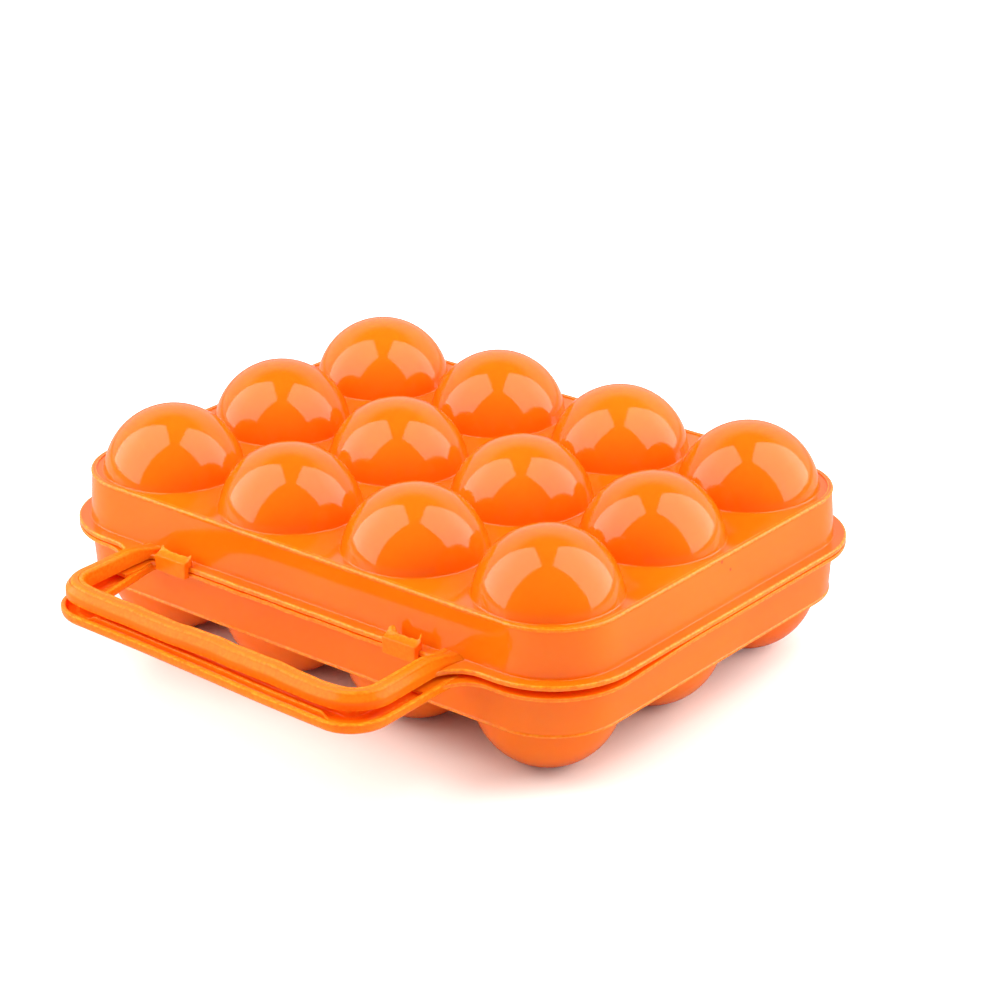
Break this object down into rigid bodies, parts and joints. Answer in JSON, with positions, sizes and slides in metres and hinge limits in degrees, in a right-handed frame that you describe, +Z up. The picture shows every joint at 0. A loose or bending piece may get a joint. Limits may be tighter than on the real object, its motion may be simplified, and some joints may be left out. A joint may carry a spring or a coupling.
{
  "type": "egg holder",
  "caption": "Clamshell egg carrier: a tray and a hinged lid with rows of domed cups, snap latches at the front and a two-loop carrying handle.",
  "frame": {"origin": "on the standing surface, under the middle of the closed holder's footprint, handle and hinge included", "axes": "+X along the longer row of cups, +Y from the handle towards the hinge, +Z up through the lid"},
  "size_m": [0.2, 0.195, 0.07],
  "materials": {
    "orange_plastic": "injection-moulded polypropylene, glossy, slightly translucent, saturated orange"
  },
  "bodies": {
    "base": {"base_tray": "orange_plastic", "base_handle": "orange_plastic", "hinge_bar_left": "orange_plastic", "hinge_bar_right": "orange_plastic"},
    "lid": {"lid_cover": "orange_plastic", "lid_handle": "orange_plastic", "hinge_hook_left": "orange_plastic", "hinge_hook_right": "orange_plastic"},
    "latch_left": {"latch_left": "orange_plastic"},
    "latch_right": {"latch_right": "orange_plastic"}
  },
  "joints": [
    {"name": "lid_hinge", "type": "hinge", "parent": "base", "child": "lid", "pos_m": [0, 0.09501, 0.035], "axis": [-1, 0, 0], "range_deg": [0, 180]},
    {"name": "latch_left_flex", "type": "hinge", "parent": "base", "child": "latch_left", "pos_m": [-0.0435, -0.05529, 0.0334], "axis": [1, 0, 0], "range_deg": [0, 30], "stiffness_Nm_per_rad": 0.05},
    {"name": "latch_right_flex", "type": "hinge", "parent": "base", "child": "latch_right", "pos_m": [0.0435, -0.05529, 0.0334], "axis": [1, 0, 0], "range_deg": [0, 30], "stiffness_Nm_per_rad": 0.05}
  ]
}
